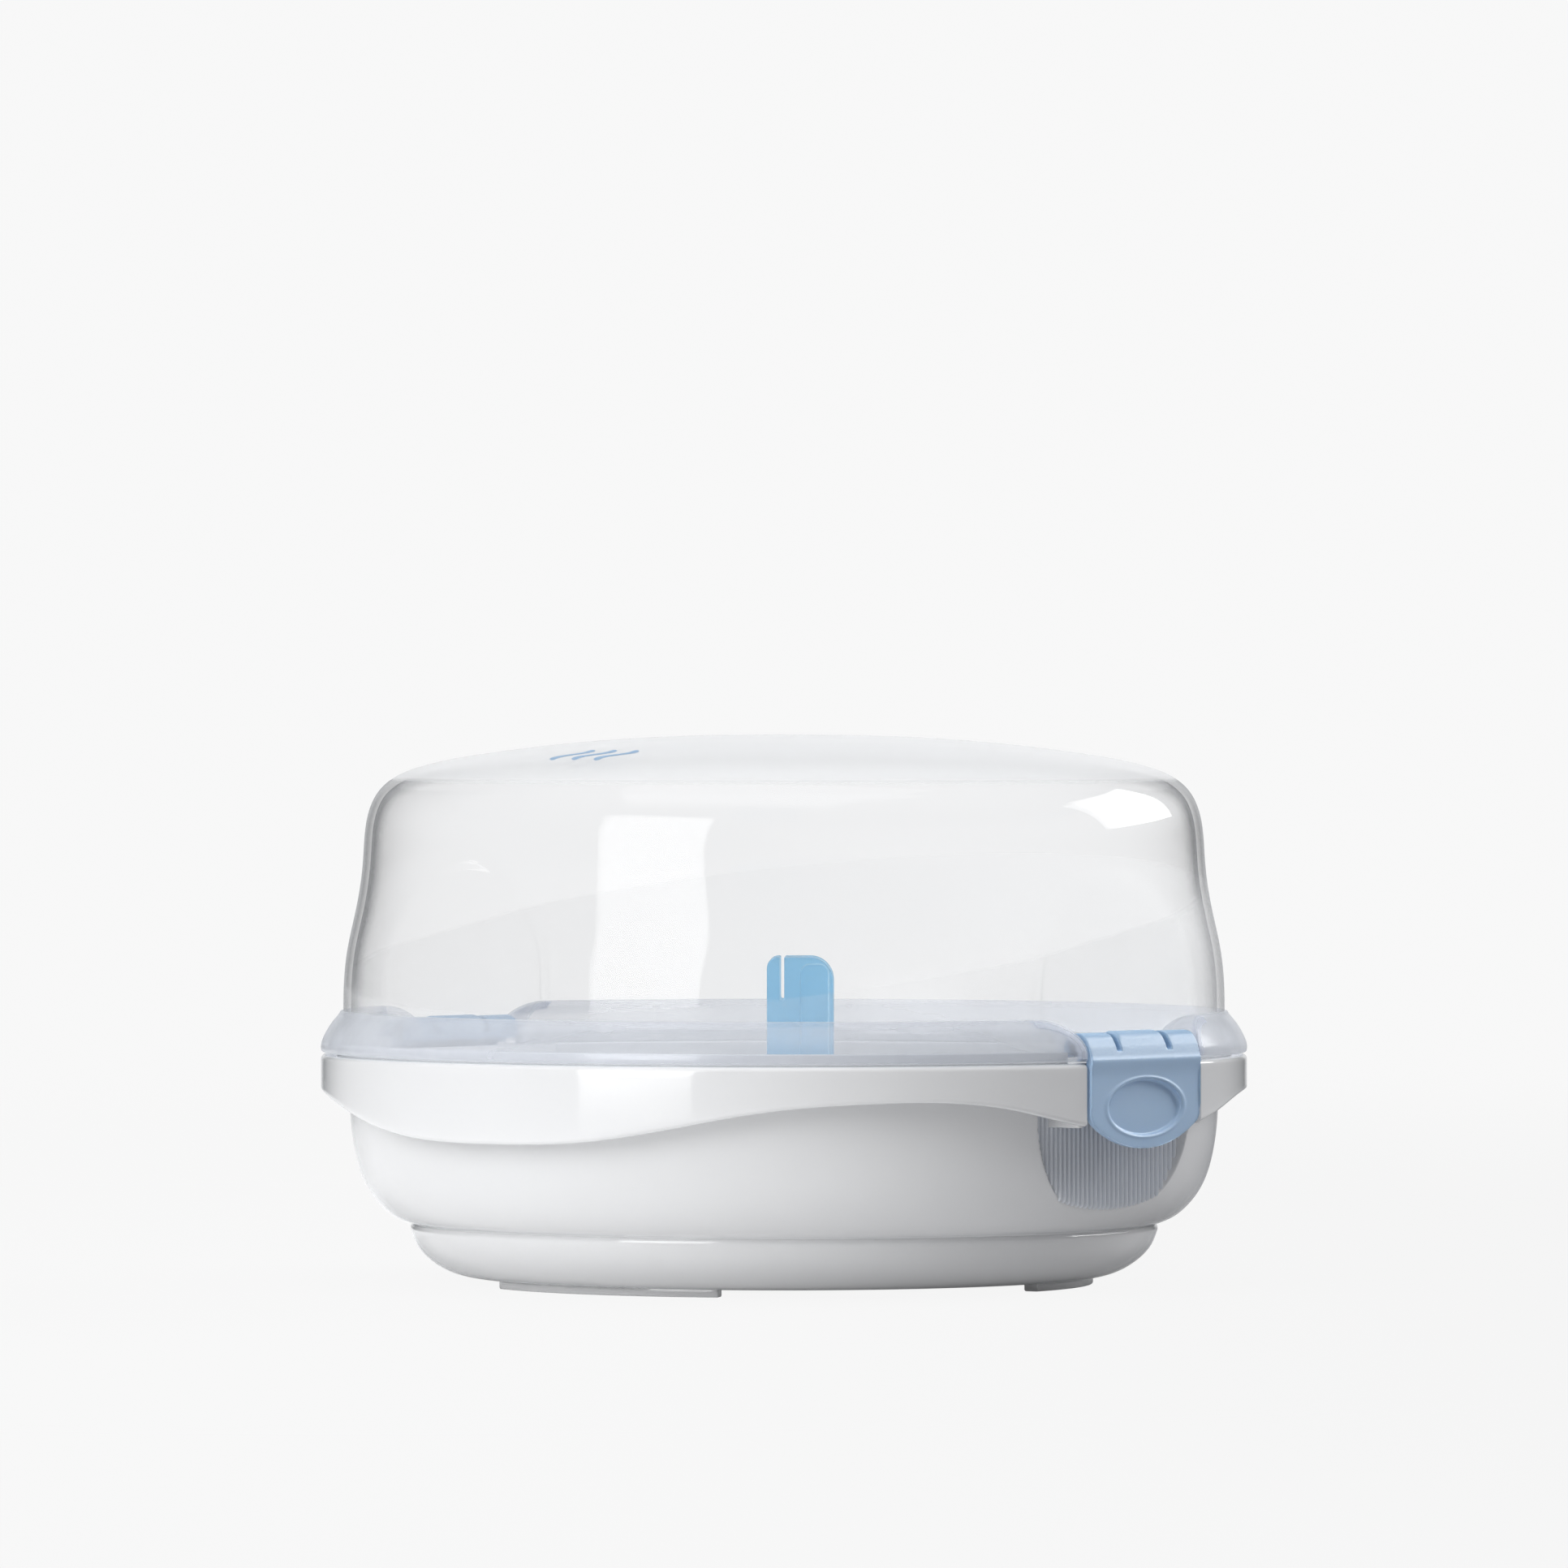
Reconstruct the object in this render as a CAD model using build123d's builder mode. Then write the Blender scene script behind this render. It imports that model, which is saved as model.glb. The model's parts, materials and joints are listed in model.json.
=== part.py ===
"""Microwave steam steriliser for feeding bottles: bowl, rack, dome lid, two swing clips and tongs.

Units are millimetres.  +Z is up, the origin is on the floor under the centre of the bowl, -Y is the
front (the deepest part of the skirt) and the two clips are at +X and -X.
"""
import math
import os

from build123d import *

# ---- driving dimensions -------------------------------------------------------------------------
overall_radius = 140.0      # skirt and collar
overall_height = 166.0      # floor to the crown of the dome
wall = 2.4                  # bowl wall
lid_wall = 2.2              # lid wall
split_z = 69.6              # top of the bowl's rim, where the lid stands
side_gap = 0.6              # shadow line between skirt and collar
gap_half = 27.3             # half width of the opening in the rim that takes a clip
facet_half = 38.3           # half width, and end radius, of the flat oval on each side of the lid
facet_lid_x = 126.5         # flat of the oval on the lid
facet_top_centre = 88.0     # centre of the oval's upper end
grip_half = 36.8            # half width, and end radius, of the grip flat on each side of the bowl
grip_x = 123.2              # grip flat on the bowl
grip_low_centre = 55.5      # centre of the grip flat's lower end
far = 200.0                 # longer than anything here

# ---- clip and its hinge -------------------------------------------------------------------------
pivot_x = 131.8
pivot_z = 74.2
bar_radius = 2.2
knuckle_bore = 2.25
knuckle_radius = 4.3
clip_half = 26.4
clip_sheet = 2.4
clip_face_x = 138.4
catch_x = 133.0             # outer edge of the ledge that the hook catches
catch_thick = 2.8
bead_rise = 3.6             # bead on the rim that centres the lid

# ---- rack and tongs -----------------------------------------------------------------------------
seat_z = 21.0               # ledge in the bowl that carries the rack's deck
deck_thick = 2.4
deck_radius = 113.6
ring_rise = 1.6             # height of the rings that place the bottles
cup_centre = 47.0           # bottle places at (+-cup_centre, +-cup_centre)
cup_radius = 37.5
tongs_turn = 38.0           # the tongs' blades face this far round from -Y towards +X
tongs_shift = 5.0           # the pocket is this far off centre, along the blades' width
tongs_half = 10.0           # half width of a blade
tongs_pivot_z = 14.5
tongs_top_z = 99.5
tongs_lean = 5.0            # each arm leans out by this angle
arm_thick = 2.4


# ---- shared outlines ----------------------------------------------------------------------------
# The bowl outside: foot dish, crease, then the upper bowl.
dish_out = [(88.0, 2.0), (99.5, 3.3), (107.2, 7.6), (111.4, 12.6), (113.3, 17.6)]
bowl_out = [(113.5, 18.0), (121.3, 23.0), (126.6, 30.0), (129.3, 38.0), (130.8, 47.0), (131.5, split_z)]
dish_in = [(86.0, 4.4), (98.0, 5.8), (105.0, 9.6), (109.0, 14.2), (110.8, seat_z - 2.6)]
bowl_in = [(114.4, seat_z), (119.4, 25.6), (124.2, 32.0), (126.9, 39.0), (128.4, 47.6), (129.1, split_z)]

# The lid outside: wall from the rim to the shoulder, then the crown.
lid_wall_out = [(133.2, split_z), (133.2, 85.0), (132.1, 100.0), (129.0, 115.0), (127.2, 129.0), (126.2, 140.0)]
lid_crown_out = [
    (126.2, 140.0), (123.4, 147.6), (116.0, 154.2), (100.0, 158.7), (62.0, 163.8), (0, overall_height),
]
collar_foot_z = split_z + side_gap


def revolved(curves, floor, top=None):
    """A solid of revolution whose outside follows the given splines, from the axis out and back."""
    with BuildPart() as body:
        with BuildSketch(Plane.XZ):
            with BuildLine():
                points = [(0, floor)]
                start = curves[0][0]
                if start != (0, floor):
                    Line((0, floor), start)
                for k, curve in enumerate(curves):
                    if k and curve[0] != curves[k - 1][-1]:
                        Line(curves[k - 1][-1], curve[0])
                    Spline(*curve)
                end = curves[-1][-1]
                if end[0] > 0:
                    Line(end, (0, end[1]))
                Line((0, end[1]), (0, floor))
            make_face()
        revolve(axis=Axis.Z)
    return body.part


def oval_prism(radius, low, high=facet_top_centre):
    """An upright oval with ends of the given radius, run along X through the +X side only."""
    with BuildPart() as prism:
        with BuildSketch(Plane.YZ.offset(90.0)):
            with Locations((0, low), (0, high)):
                Circle(radius)
            with Locations((0, (low + high) / 2)):
                Rectangle(2 * radius, high - low)
        extrude(amount=80.0)
    return prism.part


def both_sides(part):
    """The part and its mirror image across the YZ plane."""
    with BuildPart() as pair:
        add(part)
        mirror(about=Plane.YZ)
    return pair.part


def flat_cutter(x, radius, low):
    """What an oval flat at x takes away from the +X side."""
    with BuildPart() as cutter:
        add(oval_prism(radius, low))
        with Locations((x - 50, 0, split_z)):
            Box(100, far, far, mode=Mode.SUBTRACT)
    return cutter.part


# ---- base ---------------------------------------------------------------------------------------
bowl_outside = revolved([dish_out, bowl_out], dish_out[0][1])

with BuildPart() as bowl_cavity:
    with BuildSketch(Plane.XZ):
        with BuildLine():
            Line((0, dish_in[0][1]), dish_in[0])
            Spline(*dish_in)
            Polyline(dish_in[-1], (dish_in[-1][0], seat_z), bowl_in[0])
            Spline(*bowl_in)
            Polyline(bowl_in[-1], (bowl_in[-1][0], split_z + 10), (0, split_z + 10), (0, dish_in[0][1]))
        make_face()
    revolve(axis=Axis.Z)
    add(both_sides(flat_cutter(grip_x - wall, grip_half + wall, grip_low_centre)), mode=Mode.SUBTRACT)

# The lower edge of the skirt is one wave, the same from the front and from the back.
wave = [(0, 46.0), (38, 47.6), (64, 52.2), (86, 56.6), (108, 58.6), (122, 58.4), (130, 56.2), (135, 52.8)]
wave_end = (137.5, 50.6)
wave_curve = [(-wave_end[0], wave_end[1])] + [(-x, z) for x, z in wave[:0:-1]] + wave + [wave_end]

with BuildPart() as wave_cutter:
    with BuildSketch(Plane.XZ):
        with BuildLine():
            Spline(*wave_curve)
            Polyline(wave_curve[-1], (145, wave_end[1]), (145, 30), (-145, 30), (-145, wave_end[1]), wave_curve[0])
        make_face()
    extrude(amount=far, both=True)

skirt_inner = overall_radius - wall
rim_under = split_z - catch_thick
with BuildPart() as rim:
    with BuildSketch(Plane.XZ):
        with BuildLine():
            Polyline(
                (118, rim_under), (118, split_z), (133.8, split_z), (133.8, split_z + bead_rise),
                (135.6, split_z + bead_rise), (135.6, split_z), (overall_radius - 1.6, split_z),
            )
            ThreePointArc(
                (overall_radius - 1.6, split_z),
                (overall_radius - 0.47, split_z - 0.47),
                (overall_radius, split_z - 1.6),
            )
            Polyline(
                (overall_radius, split_z - 1.6), (overall_radius, 40), (skirt_inner, 40),
                (skirt_inner, rim_under - 1.5), (skirt_inner - 1.5, rim_under), (118, rim_under),
            )
        make_face()
    revolve(axis=Axis.Z)
    add(wave_cutter.part, mode=Mode.SUBTRACT)
    # Openings for the clips, and the bead stops clear of them.
    for side in (1, -1):
        with Locations((side * (catch_x + 20), 0, split_z)):
            Box(40, 2 * gap_half, 80, mode=Mode.SUBTRACT)
        with Locations((side * (catch_x - 5), 0, split_z + 5)):
            Box(40, 2 * gap_half + 6, 10, mode=Mode.SUBTRACT)

# Webs close the ends of the skirt against the bowl, on both sides of each clip.
jaw_foot_z = 50.6
jaw_web = 2.4
with BuildPart() as jaw_webs:
    with Locations((0, 0, (jaw_foot_z + rim_under) / 2)):
        with GridLocations(2 * 130.0, 2 * gap_half + jaw_web, 2, 2):
            Box(15.0, jaw_web, rim_under - jaw_foot_z + 1.0)
    Cylinder(overall_radius - 1.0, 300, mode=Mode.INTERSECT)

# Upright ribs on the grip flat.
rib_pitch = 2.14
rib_width = 1.2
rib_rise = 0.9
rib_count = 33
with BuildPart() as grip_ribs:
    with Locations((grip_x + rib_rise / 2 - 0.3, 0, 45)):
        with GridLocations(1, rib_pitch, 1, rib_count):
            Box(rib_rise + 0.6, rib_width, 90)
    add(oval_prism(grip_half - 0.8, grip_low_centre), mode=Mode.INTERSECT)
    add(bowl_outside, mode=Mode.INTERSECT)
    with Locations((grip_x, 0, rim_under - 1 + 50)):
        Box(40, 90, 100, mode=Mode.SUBTRACT)

# Three feet, each an arc of a low ring.
foot_outer = 93.5
foot_width = 5.0
foot_sweep = 54.0
foot_angles = (0, 120, 240)
with BuildPart() as feet:
    for angle in foot_angles:
        with BuildSketch(Plane.XZ):
            with Locations((foot_outer - foot_width / 2, 1.6)):
                Rectangle(foot_width, 3.2)
        start = -90 + angle - foot_sweep / 2
        # The ring segment is revolved from +X and then turned to its place.
        segment = revolve(axis=Axis.Z, revolution_arc=foot_sweep, mode=Mode.PRIVATE)
        add(segment.rotate(Axis.Z, start))

with BuildPart() as base:
    add(bowl_outside)
    add(both_sides(flat_cutter(grip_x, grip_half, grip_low_centre)), mode=Mode.SUBTRACT)
    add(rim.part)
    add(jaw_webs.part)
    add(bowl_cavity.part, mode=Mode.SUBTRACT)
    add(both_sides(grip_ribs.part))
    add(feet.part)
base.part.label = "base"

# ---- rack ---------------------------------------------------------------------------------------
deck_top = seat_z + deck_thick
pocket_top = 62.0
pocket_floor = 8.0
pocket_in = (tongs_half + 0.9, 9.4)      # half width and half depth inside
pocket_wall = 1.8
tongs_frame = Plane(
    origin=(
        tongs_shift * math.cos(math.radians(tongs_turn)),
        tongs_shift * math.sin(math.radians(tongs_turn)),
        0,
    ),
    x_dir=(math.cos(math.radians(tongs_turn)), math.sin(math.radians(tongs_turn)), 0),
    z_dir=(0, 0, 1),
)

with BuildPart() as rack:
    with BuildSketch(Plane.XY.offset(seat_z)):
        Circle(deck_radius)
    extrude(amount=deck_thick)
    # Low rings that place the bottles.
    with BuildSketch(Plane.XY.offset(deck_top)):
        with GridLocations(2 * cup_centre, 2 * cup_centre, 2, 2):
            Circle(cup_radius)
            Circle(cup_radius - 2.0, mode=Mode.SUBTRACT)
    extrude(amount=ring_rise)
    # Steam holes: a centre hole and a ring of slots in every bottle place, and holes between.
    with BuildSketch(Plane.XY.offset(seat_z)):
        with GridLocations(2 * cup_centre, 2 * cup_centre, 2, 2):
            Circle(8.0)
            with PolarLocations(21.0, 8):
                SlotOverall(16.0, 6.0)
        with PolarLocations(107.5, 36):
            Circle(2.4)
        with PolarLocations(88.0, 4):
            with PolarLocations(9.0, 6):
                Circle(2.2)
    extrude(amount=deck_thick, mode=Mode.SUBTRACT)
    # Two finger tabs to lift it by, each with three grip ridges.
    tab_y = 99.0
    tab_half = 17.0
    tab_top = 60.0
    for side in (1, -1):
        with BuildSketch(Plane.XZ.offset(side * tab_y)):
            with Locations((0, (deck_top + tab_top) / 2 - 5)):
                RectangleRounded(2 * tab_half, tab_top - deck_top + 10, 9.0)
            with Locations((0, deck_top - 20.5)):
                Rectangle(60, 40, mode=Mode.SUBTRACT)
        extrude(amount=1.5, both=True)
        for k in range(3):
            with Locations((0, -side * tab_y, tab_top - 8.0 - 5.0 * k)):
                Box(2 * tab_half - 10, 4.2, 1.4)
    # Pocket for the tongs, through the deck and down to its own floor.
    with BuildSketch(tongs_frame.offset(pocket_floor)):
        RectangleRounded(2 * (pocket_in[0] + pocket_wall), 2 * (pocket_in[1] + pocket_wall), 3.5)
    extrude(amount=pocket_top - pocket_floor)
    with BuildSketch(tongs_frame.offset(pocket_floor + 2.0)):
        RectangleRounded(2 * pocket_in[0], 2 * pocket_in[1], 2.0)
    extrude(amount=pocket_top, mode=Mode.SUBTRACT)
    with BuildSketch(tongs_frame.offset(pocket_floor)):
        with Locations((6, 0), (-6, 0)):
            Circle(1.6)
    extrude(amount=2.0, mode=Mode.SUBTRACT)
rack.part.label = "rack"

# ---- tongs --------------------------------------------------------------------------------------
# Each arm is drawn in the tongs' own frame: x across the blade, y away from the front, z up.
hinge_radius = 4.5
pin_radius = 1.8
pin_bore = 1.86
arm_length = tongs_top_z - tongs_pivot_z


def arm_blade(side):
    """A blade that rises from the hinge and leans out.  side is -1 for the front arm, 1 for the rear."""
    with BuildPart() as arm:
        with BuildSketch(Plane.XZ):
            with BuildLine():
                left = -tongs_half
                right = tongs_half
                top = arm_length
                Line((left, 0), (left, top - 3.5))
                RadiusArc((left, top - 3.5), (left + 3.0, top), 3.4)
                Line((left + 3.0, top), (right - 6.5, top))
                RadiusArc((right - 6.5, top), (right, top - 7.5), 7.3)
                Polyline((right, top - 7.5), (right, 0), (left, 0))
            make_face()
            # A narrow slot beside one edge of the tip.
            with Locations((left + 4.6, top - 6.0)):
                SlotOverall(14.0, 1.3, rotation=90, mode=Mode.SUBTRACT)
            with Locations((left + 4.6, top)):
                Rectangle(1.3, 6.0, mode=Mode.SUBTRACT)
        extrude(amount=arm_thick / 2, both=True)
        # The panel on the outer face is thinner beside the slot.
        with BuildSketch(Plane.XZ.offset(arm_thick / 2)):
            with Locations((4.4, top / 2 + 14.0)):
                RectangleRounded(8.6, top - 32.0, 3.0)
        extrude(amount=-0.9, mode=Mode.SUBTRACT)
        # Grip ridges on the inner face of the tip.
        with Locations(*[(0, arm_thick / 2, top - 14.0 - 3.2 * k) for k in range(5)]):
            Box(2 * tongs_half - 4.0, 1.0, 1.2)
    part = arm.part
    if side > 0:
        part = part.mirror(Plane.XZ)
    lean = tongs_lean if side < 0 else -tongs_lean
    part = part.moved(Location((0, side * (hinge_radius - arm_thick / 2), 0)))
    return part.rotate(Axis.X, lean).moved(Location((0, 0, tongs_pivot_z)))


def barrel(radius, low, high):
    """A round bar along x at the tongs' hinge."""
    with BuildPart() as bar:
        with BuildSketch(Plane.YZ.offset(low)):
            with Locations((0, tongs_pivot_z)):
                Circle(radius)
        extrude(amount=high - low)
    return bar.part


knuckle_half = 3.4
knuckle_play = 0.3
with BuildPart() as front_local:
    add(arm_blade(-1))
    for low, high in ((-tongs_half, -knuckle_half - knuckle_play), (knuckle_half + knuckle_play, tongs_half)):
        add(barrel(hinge_radius, low, high))
    with Locations((0, 0, tongs_pivot_z)):
        Box(2 * (knuckle_half + knuckle_play), 30, 2 * (hinge_radius + 0.6), mode=Mode.SUBTRACT)
    add(barrel(pin_radius, -tongs_half, tongs_half))

with BuildPart() as rear_local:
    add(arm_blade(1))
    with Locations((0, 0, tongs_pivot_z)):
        Box(2 * tongs_half + 2, 30, 2 * (hinge_radius + 0.6), mode=Mode.SUBTRACT)
    add(barrel(hinge_radius, -knuckle_half, knuckle_half))
    with Locations((0, hinge_radius - arm_thick / 2 + 0.25, tongs_pivot_z + hinge_radius / 2 + 0.6)):
        Box(2 * knuckle_half, arm_thick, hinge_radius + 1.2)
    add(barrel(pin_bore, -knuckle_half, knuckle_half), mode=Mode.SUBTRACT)

with BuildPart() as tongs_front_arm:
    add(front_local.part.moved(tongs_frame.location))
tongs_front_arm.part.label = "tongs_front_arm"

with BuildPart() as tongs_rear_arm:
    add(rear_local.part.moved(tongs_frame.location))
tongs_rear_arm.part.label = "tongs_rear_arm"

# ---- lid ----------------------------------------------------------------------------------------
lid_wall_in = [(x - lid_wall, z) for x, z in lid_wall_out]
lid_crown_in = [
    (lid_wall_in[-1][0], 140.0), (121.4, 146.2), (115.0, 152.0), (99.6, 156.5), (61.8, 161.6),
    (0, overall_height - lid_wall),
]
lid_outside = revolved([lid_wall_out, lid_crown_out], split_z)
lid_inside = revolved([lid_wall_in, lid_crown_in], split_z)


with BuildPart() as lid_wall_body:
    add(lid_outside)
    add(both_sides(flat_cutter(facet_lid_x, facet_half, split_z - 5)), mode=Mode.SUBTRACT)

with BuildPart() as lid_cavity:
    add(lid_inside)
    add(both_sides(flat_cutter(facet_lid_x - lid_wall, facet_half + lid_wall, split_z - 5)), mode=Mode.SUBTRACT)

collar_top_z = 83.0
with BuildPart() as collar_void:
    with BuildSketch(Plane.XZ):
        with BuildLine():
            Line((110, 60), (137.6, 60))
            Line((137.6, 60), (137.6, collar_foot_z))
            Spline((137.6, collar_foot_z), (136.6, 74.2), (134.2, 78.2), (131.4, 80.6))
            Polyline((131.4, 80.6), (110, 80.6), (110, 60))
        make_face()
    revolve(axis=Axis.Z)
    add(lid_wall_body.part, mode=Mode.SUBTRACT)
    with Locations((130, 0, 70), (-130, 0, 70)):
        Box(60, 2 * (gap_half + lid_wall), 60, mode=Mode.SUBTRACT)

with BuildPart() as collar:
    with BuildSketch(Plane.XZ):
        with BuildLine():
            Line((120, collar_foot_z), (overall_radius, collar_foot_z))
            Spline((overall_radius, collar_foot_z), (139.6, 72.9), (137.8, 76.8), (134.7, 81.2), (133.1, collar_top_z))
            Polyline((133.1, collar_top_z), (120, collar_top_z), (120, collar_foot_z))
        make_face()
    revolve(axis=Axis.Z)
    for side in (1, -1):
        with Locations((side * (facet_lid_x + 20), 0, split_z)):
            Box(40, 2 * gap_half, 60, mode=Mode.SUBTRACT)
    add(collar_void.part, mode=Mode.SUBTRACT)

with BuildPart() as lid:
    add(lid_wall_body.part)
    add(collar.part)
    add(lid_cavity.part, mode=Mode.SUBTRACT)
    for side in (1, -1):
        with BuildSketch(Plane.XZ.offset(-gap_half - 1.0)):
            with Locations((side * pivot_x, pivot_z)):
                Circle(bar_radius)
        extrude(amount=2 * (gap_half + 1.0))
lid.part.label = "lid"

# ---- clips --------------------------------------------------------------------------------------
clip_low_z = 44.0
clip_corner_z = 52.6
hook_top_z = rim_under - 0.5
slot_y = 12.2
slot_wide = 2.4

with BuildPart() as clip_right:
    # The bent sheet and its hinge knuckle, drawn on edge.
    with BuildSketch(Plane.XZ):
        with BuildLine():
            top = (pivot_x, pivot_z + knuckle_radius)
            joint = (
                pivot_x + knuckle_radius * math.cos(math.radians(-30)),
                pivot_z + knuckle_radius * math.sin(math.radians(-30)),
            )
            Spline(top, (135.6, 77.0), (137.6, 71.6), (clip_face_x, 64.0), tangents=((1, 0), (0, -1)))
            Polyline(
                (clip_face_x, 64.0), (clip_face_x - 0.5, 40.0), (clip_face_x - 0.5 - clip_sheet, 40.0),
                (clip_face_x - clip_sheet, 64.0), joint,
            )
            ThreePointArc(joint, (pivot_x - knuckle_radius, pivot_z), top)
        make_face()
        # The knuckle is open below so that it snaps over the lid's bar.
        with Locations((pivot_x, pivot_z)):
            Circle(knuckle_bore, mode=Mode.SUBTRACT)
        with Locations((pivot_x - 1.2, pivot_z - 3.4)):
            Rectangle(3.6, 6.8, rotation=-20, mode=Mode.SUBTRACT)
    extrude(amount=clip_half, both=True)
    # The tab's outline.
    with BuildSketch(Plane.YZ.offset(100.0)):
        with BuildLine():
            Line((-clip_half, 90.0), (-clip_half, clip_corner_z))
            ThreePointArc((-clip_half, clip_corner_z), (0, clip_low_z), (clip_half, clip_corner_z))
            Polyline((clip_half, clip_corner_z), (clip_half, 90.0), (-clip_half, 90.0))
        make_face()
        fillet(vertices().group_by(Axis.Y)[0], radius=5.0)
    extrude(amount=60.0, mode=Mode.INTERSECT)
    # Two slots free a tongue in the middle of the top edge.
    with Locations((pivot_x + 5, slot_y, 77.6), (pivot_x + 5, -slot_y, 77.6)):
        Box(20, slot_wide, 9.0, mode=Mode.SUBTRACT)
    # Hook that catches under the bowl's ledge.
    with BuildSketch(Plane.XZ):
        with BuildLine():
            Polyline(
                (catch_x - 1.5, hook_top_z), (136.6, hook_top_z), (136.6, 60.4),
                (catch_x + 0.6, 62.6), (catch_x - 1.5, 64.4), (catch_x - 1.5, hook_top_z),
            )
        make_face()
    extrude(amount=10.0, both=True)
    # Thumb dish.
    with BuildSketch(Plane.YZ.offset(clip_face_x - 0.9)):
        with Locations((0, 56.2)):
            Ellipse(17.6, 8.3)
    extrude(amount=5.0, mode=Mode.SUBTRACT)
clip_right.part.label = "clip_right"

with BuildPart() as clip_left:
    add(clip_right.part.mirror(Plane.YZ))
clip_left.part.label = "clip_left"

# ---- output -------------------------------------------------------------------------------------
os.makedirs("parts", exist_ok=True)
pieces = (base, rack, tongs_front_arm, tongs_rear_arm, lid, clip_right, clip_left)
for piece in pieces:
    export_step(piece.part, f"parts/{piece.part.label}.step")
    print(piece.part.label, round(piece.part.volume), len(piece.part.solids()))
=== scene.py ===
"""Looks of the microwave bottle sterilizer, built over its CAD frame.

Everything is in the row frame: +Z up, the origin on the floor under the bowl, -Y the front, the clips at
+X and -X. Lengths in the shape code are millimetres and are turned to metres when a mesh is made. Lengths in
the materials, the studio and the camera are metres.
"""
import json
import math

import bmesh
import bpy
import numpy as np
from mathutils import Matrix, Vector


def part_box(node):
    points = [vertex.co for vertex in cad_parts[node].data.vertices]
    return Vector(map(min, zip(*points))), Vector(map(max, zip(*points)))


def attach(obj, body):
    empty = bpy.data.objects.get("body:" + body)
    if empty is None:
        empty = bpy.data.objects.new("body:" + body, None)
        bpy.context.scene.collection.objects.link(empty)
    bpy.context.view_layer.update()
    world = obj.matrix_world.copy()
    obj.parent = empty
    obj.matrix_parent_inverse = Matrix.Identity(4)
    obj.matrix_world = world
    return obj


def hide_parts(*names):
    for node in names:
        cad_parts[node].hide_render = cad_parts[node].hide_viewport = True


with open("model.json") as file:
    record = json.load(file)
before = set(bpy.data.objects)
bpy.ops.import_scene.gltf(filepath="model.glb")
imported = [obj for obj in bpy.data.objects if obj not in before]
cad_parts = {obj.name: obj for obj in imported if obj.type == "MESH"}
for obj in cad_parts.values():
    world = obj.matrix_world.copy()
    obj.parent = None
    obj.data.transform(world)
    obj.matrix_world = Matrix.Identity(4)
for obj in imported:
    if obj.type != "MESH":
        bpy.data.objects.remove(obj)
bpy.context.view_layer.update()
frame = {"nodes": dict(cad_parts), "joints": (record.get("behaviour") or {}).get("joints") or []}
joints = {j["name"]: j for j in frame["joints"]}

MM = 0.001
base_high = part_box("base")[1] / MM
lid_low, lid_high = (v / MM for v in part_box("lid"))
clip_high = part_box("clip_right")[1] / MM

RIM = base_high.y                       # outer radius of the skirt and the collar
SPLIT = lid_low.z                       # where the lid stands on the rim
TOP = lid_high.z
GAP = clip_high.y + 0.9                 # half width of the opening that takes a clip
PIVOT = [v / MM for v in joints["clip_right_swing"]["pos_m"]]
WALL = 2.4                              # wall of the base
SHELL = 2.3                             # wall of the dome
LIP = 1.6                               # rounding of the skirt's upper edge
RIM_UNDER = SPLIT - 2.8                 # underside of the rim that turns out from the bowl

# The oval flats on both sides: distance from the axis, radius, and height of the lower or upper centre.
GRIP, GRIP_OVAL, GRIP_LOW = 123.2, 35.4, 55.5
FLAT, FLAT_OVAL, FLAT_HIGH = 126.5, 36.6, 88.6
FLAT_LOW = SPLIT - 30                   # the lid's flats run down past its foot


# ---- curves and meshes --------------------------------------------------------------------------
def cubic(xs, ys, at):
    """Natural cubic through (xs, ys), read at the given places."""
    xs, ys, at = (np.asarray(v, float) for v in (xs, ys, at))
    n = len(xs)
    h = np.diff(xs)
    a = np.zeros((n, n))
    r = np.zeros(n)
    a[0, 0] = a[-1, -1] = 1
    for i in range(1, n - 1):
        a[i, i - 1], a[i, i], a[i, i + 1] = h[i - 1], 2 * (h[i - 1] + h[i]), h[i]
        r[i] = 6 * ((ys[i + 1] - ys[i]) / h[i] - (ys[i] - ys[i - 1]) / h[i - 1])
    m = np.linalg.solve(a, r)
    k = np.clip(np.searchsorted(xs, at) - 1, 0, n - 2)
    t, u, hk = at - xs[k], xs[k + 1] - at, h[k]
    return (m[k] * u**3 + m[k + 1] * t**3) / (6 * hk) + (ys[k] / hk - m[k] * hk / 6) * u + (
        ys[k + 1] / hk - m[k + 1] * hk / 6) * t


def smooth_path(points, count):
    """A smooth run of count points through the given ones, evenly spread."""
    p = np.asarray(points, float)
    s = np.concatenate([[0], np.cumsum(np.linalg.norm(np.diff(p, axis=0), axis=1))])
    at = np.linspace(0, s[-1], count)
    return np.stack([cubic(s, p[:, k], at) for k in range(p.shape[1])], axis=1)


def resampled(line, count):
    """The (n, 2) line with count points, evenly spread over its old ones."""
    old, new = np.linspace(0, 1, len(line)), np.linspace(0, 1, count)
    return np.stack([np.interp(new, old, line[:, k]) for k in (0, 1)], axis=1)


def arc(centre, radius, start, end, count):
    a = np.radians(np.linspace(start, end, count))
    return np.stack([centre[0] + radius * np.cos(a), centre[1] + radius * np.sin(a)], axis=1)


def run(start, end, count):
    return np.linspace(start, end, count)


def path(*pieces):
    """Joins runs of points and drops the repeats between them."""
    p = np.concatenate([np.atleast_2d(np.asarray(q, float)) for q in pieces])
    keep = np.concatenate([[True], np.linalg.norm(np.diff(p, axis=0), axis=1) > 1e-6])
    return p[keep]


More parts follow.
